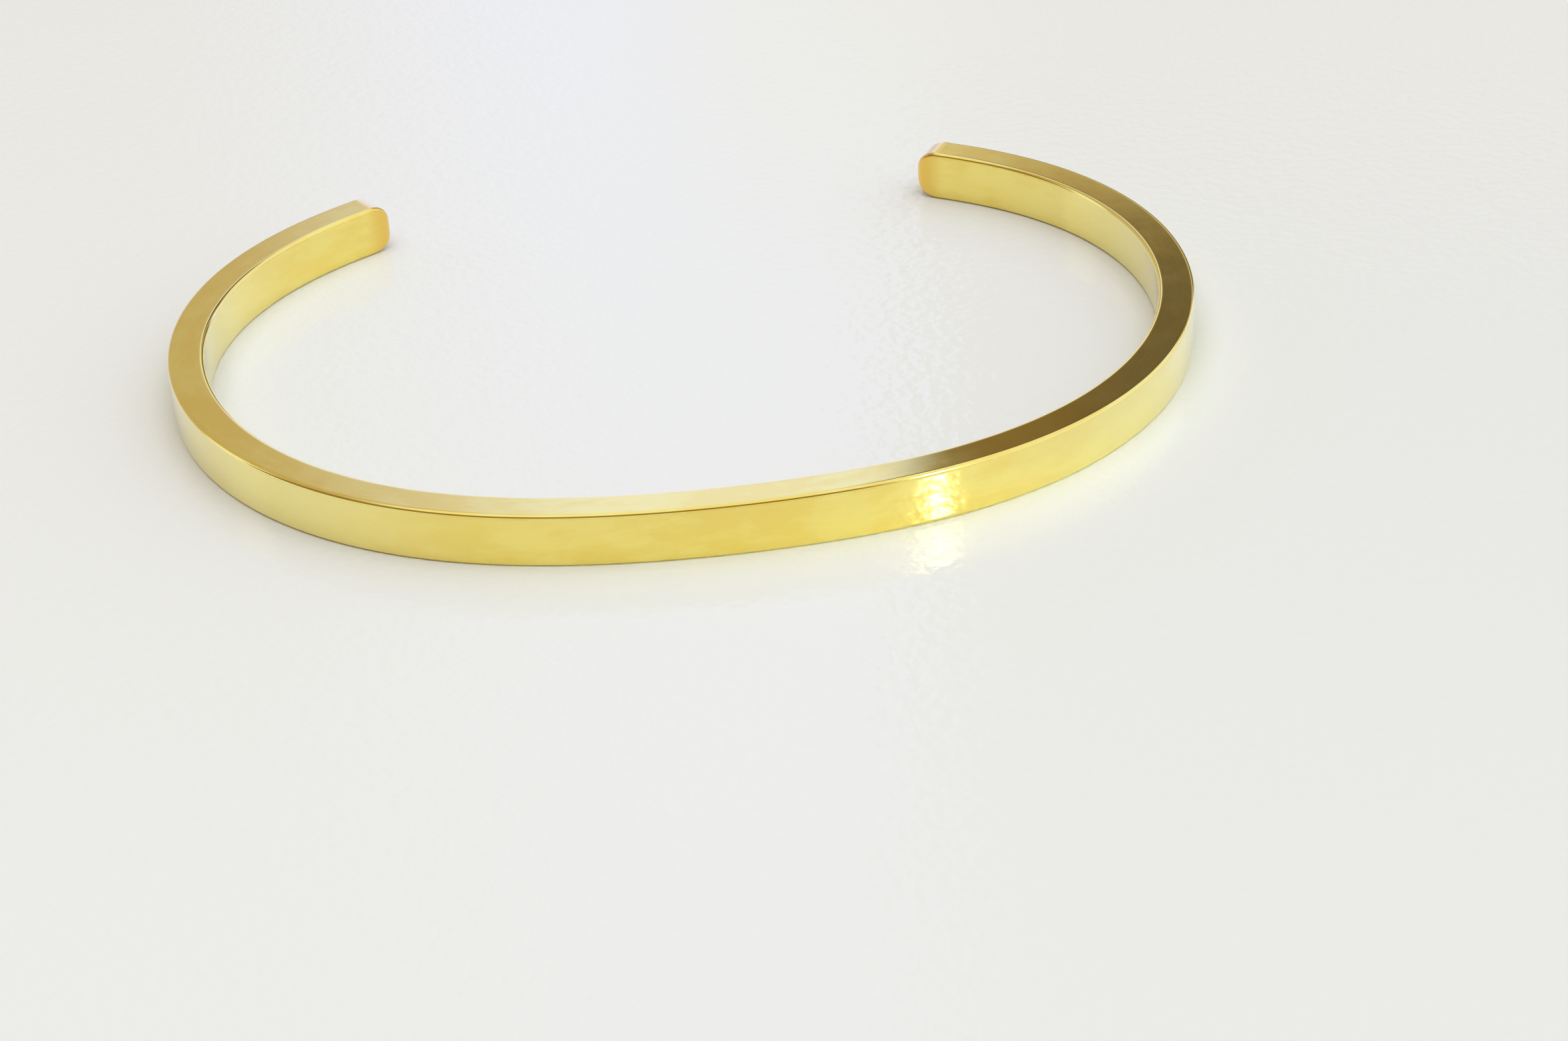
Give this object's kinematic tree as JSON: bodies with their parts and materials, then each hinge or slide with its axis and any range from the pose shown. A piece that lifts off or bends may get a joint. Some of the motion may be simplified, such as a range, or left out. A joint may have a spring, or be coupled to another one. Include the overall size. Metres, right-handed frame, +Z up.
{
  "type": "open cuff bangle",
  "caption": "Open cuff bangle: a slim rectangular gold bar bent to a flattened oval, with rounded tips and a gap at the back for the wrist.",
  "frame": {"origin": "centre of the bangle's outside box, on the plane of its lower rim, which rests on the surface", "axes": "+X across the outside width, +Y from the closed front towards the gap, +Z up through the wrist hollow"},
  "size_m": [0.06, 0.0432, 0.0031],
  "materials": {
    "polished_gold": "polished, gold plated, with faint hand-polishing waves"
  },
  "bodies": {
    "root": {"cuff": "polished_gold"}
  },
  "joints": []
}
